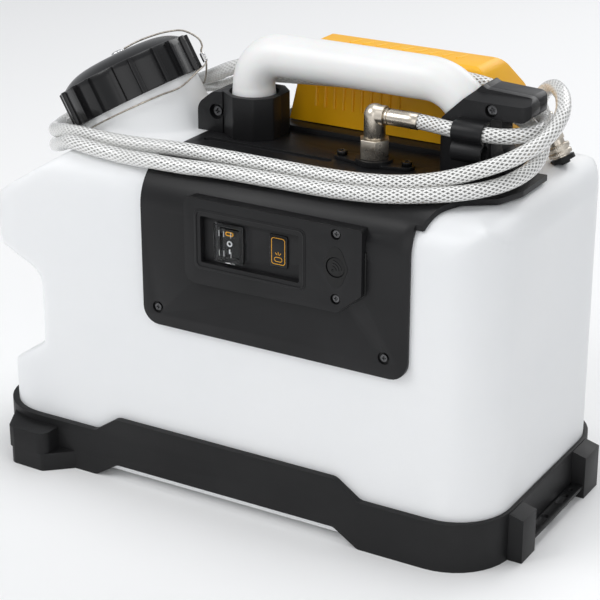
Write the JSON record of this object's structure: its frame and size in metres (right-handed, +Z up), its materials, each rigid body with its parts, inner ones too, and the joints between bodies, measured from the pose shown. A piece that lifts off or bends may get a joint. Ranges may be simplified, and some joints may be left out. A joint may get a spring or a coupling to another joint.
{
  "type": "pump sprayer",
  "caption": "Portable battery-driven water tank with pump, leaning screw cap, front control panel, carrying grip and a stowed braided hose.",
  "frame": {"origin": "centre of the footprint's box, on the ground", "axes": "+X from the cap end to the hose hook end, -Y out of the control panel, +Z up"},
  "size_m": [0.4904, 0.282, 0.3713],
  "materials": {
    "tank_plastic": "translucent white blow-moulded polyethylene, satin",
    "grip_plastic": "white moulded grip, satin",
    "cap_plastic": "black moulded cap, fine texture",
    "seal_rubber": "soft black seal",
    "steel_wire": "stranded steel wire",
    "crimp_metal": "bright crimped metal",
    "frame_plastic": "black textured polypropylene",
    "console_plastic": "black nylon, fine spark-eroded texture",
    "switch_plastic": "black switch plastic",
    "clear_plastic": "clear flexible boot",
    "window_gloss": "dark gloss window with amber outline",
    "led_amber": "amber lamp",
    "board_green": "circuit board",
    "screw_steel": "zinc plated steel",
    "screw_black": "black oxide screws",
    "nickel_plate": "nickel plated brass",
    "braided_hose": "clear vinyl over white braid",
    "cover_yellow": "yellow moulded plastic",
    "pack_black": "black battery case",
    "release_red": "red button",
    "motor_steel": "plated motor can",
    "pump_plastic": "black pump plastic",
    "clear_tube": "flexible tube"
  },
  "bodies": {
    "root": {"tank": "tank_plastic", "base_ring": "frame_plastic", "latch_plate": "frame_plastic", "base_screws": "screw_steel", "console_cover": "console_plastic", "rear_tray": "console_plastic", "control_pod": "console_plastic", "switch_body": "switch_plastic", "switch_boot": "clear_plastic", "indicator_window": "window_gloss", "indicator_led": "led_amber", "control_board": "board_green", "panel_screws": "screw_steel", "pod_screws": "screw_steel", "handle": "grip_plastic", "left_bracket_front": "console_plastic", "left_bracket_rear": "console_plastic", "right_bracket_front": "console_plastic", "right_bracket_rear": "console_plastic", "bracket_screws": "screw_steel", "hose_clip": "console_plastic", "outlet_flange": "console_plastic", "flange_screws": "screw_black", "outlet_nut": "nickel_plate", "outlet_elbow": "nickel_plate", "elbow_ferrule": "nickel_plate", "supply_hose": "braided_hose", "coupler_ferrule": "nickel_plate", "coupler_body": "nickel_plate", "coupler_rest": "console_plastic", "cover_hinge_pin": "screw_steel", "battery_dock": "pack_black", "pump_motor": "motor_steel", "pump_head": "pump_plastic", "pump_cradle": "pump_plastic", "pressure_switch": "pump_plastic", "outlet_tube": "clear_tube", "intake_tube": "clear_tube", "intake_strainer": "pump_plastic"},
    "cap_lift": {"cap_gasket": "seal_rubber", "cap_stud": "crimp_metal", "lanyard_wire": "steel_wire", "lanyard_crimp": "crimp_metal"},
    "cap": {"cap_shell": "cap_plastic"},
    "rocker": {"switch_rocker": "switch_plastic"},
    "button": {"pairing_button": "switch_plastic"},
    "lid": {"battery_cover": "cover_yellow"},
    "battery": {"battery_pack": "pack_black"},
    "release": {"battery_release": "release_red"},
    "sleeve": {"coupler_sleeve": "nickel_plate"},
    "shaft": {"motor_shaft": "screw_steel"}
  },
  "joints": [
    {"name": "cap_rise", "type": "slide", "parent": "root", "child": "cap_lift", "axis": [-0.5, 0, 0.866], "range_m": [0, 0.012]},
    {"name": "cap_turn", "type": "hinge", "parent": "cap_lift", "child": "cap", "pos_m": [-0.158, 0, 0.2954], "axis": [-0.5, 0, 0.866], "range_deg": [0, 540]},
    {"name": "rocker_tilt", "type": "hinge", "parent": "root", "child": "rocker", "pos_m": [0.0088, -0.118, 0.2355], "axis": [1, 0, 0], "range_deg": [-8, 8]},
    {"name": "button_press", "type": "slide", "parent": "root", "child": "button", "axis": [0, 1, 0], "range_m": [0, 0.0012], "stiffness_N_per_m": 400},
    {"name": "lid_swing", "type": "hinge", "parent": "root", "child": "lid", "pos_m": [0.0625, 0.111, 0.2935], "axis": [-1, 0, 0], "range_deg": [0, 105]},
    {"name": "battery_slide", "type": "slide", "parent": "root", "child": "battery", "axis": [1, 0, 0], "range_m": [0, 0.03]},
    {"name": "release_press", "type": "slide", "parent": "battery", "child": "release", "axis": [-1, 0, 0], "range_m": [0, 0.0025], "stiffness_N_per_m": 400},
    {"name": "sleeve_slide", "type": "slide", "parent": "root", "child": "sleeve", "axis": [-0.4787, 0, 0.878], "range_m": [0, 0.0035], "stiffness_N_per_m": 600},
    {"name": "motor_spin", "type": "hinge", "parent": "root", "child": "shaft", "pos_m": [0, -0.008, 0.224], "axis": [1, 0, 0], "continuous": true}
  ],
  "couplings": [
    {"joint": "cap_rise", "follows": "cap_turn", "m_per_rad": 0.0012732}
  ]
}
